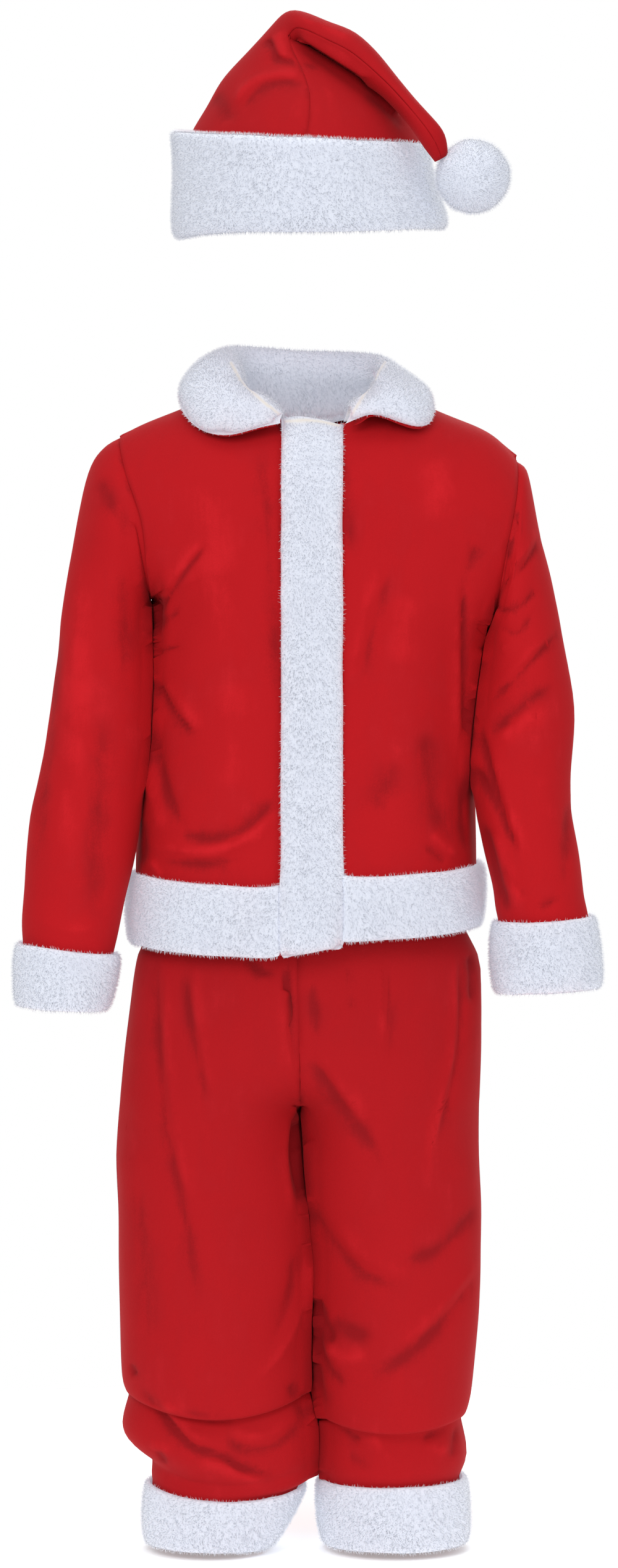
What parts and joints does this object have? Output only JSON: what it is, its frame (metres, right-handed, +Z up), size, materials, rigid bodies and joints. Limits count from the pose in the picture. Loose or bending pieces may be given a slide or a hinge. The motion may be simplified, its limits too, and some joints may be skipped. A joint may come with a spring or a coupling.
{
  "type": "santa suit",
  "caption": "Child's red velour santa suit with white fur trim: jacket, trousers and bobble hat, filled out as worn",
  "frame": {"origin": "the middle of the neck's base, where the wearer's shoulders carry the jacket", "axes": "+Z up, +X to the wearer's left, -Y out of the front"},
  "size_m": [0.4012, 0.212, 1.0456],
  "materials": {
    "velour": "red brushed velour, short nap",
    "fur": "white plush fur, short pile",
    "elastic": "red cloth over elastic"
  },
  "bodies": {
    "root": {"jacket_front_right": "velour", "jacket_front_left": "velour", "jacket_back": "velour", "sleeve_right": "velour", "sleeve_left": "velour", "under_collar": "velour", "trouser_front_right": "velour", "trouser_front_left": "velour", "trouser_back_right": "velour", "trouser_back_left": "velour", "hat_crown_right": "velour", "hat_crown_left": "velour", "placket": "fur", "hem_band": "fur", "collar_fur": "fur", "sleeve_cuff_right": "fur", "sleeve_cuff_left": "fur", "leg_cuff_right": "fur", "leg_cuff_left": "fur", "hat_brim": "fur", "pompom": "fur", "waistband": "elastic"}
  },
  "joints": []
}
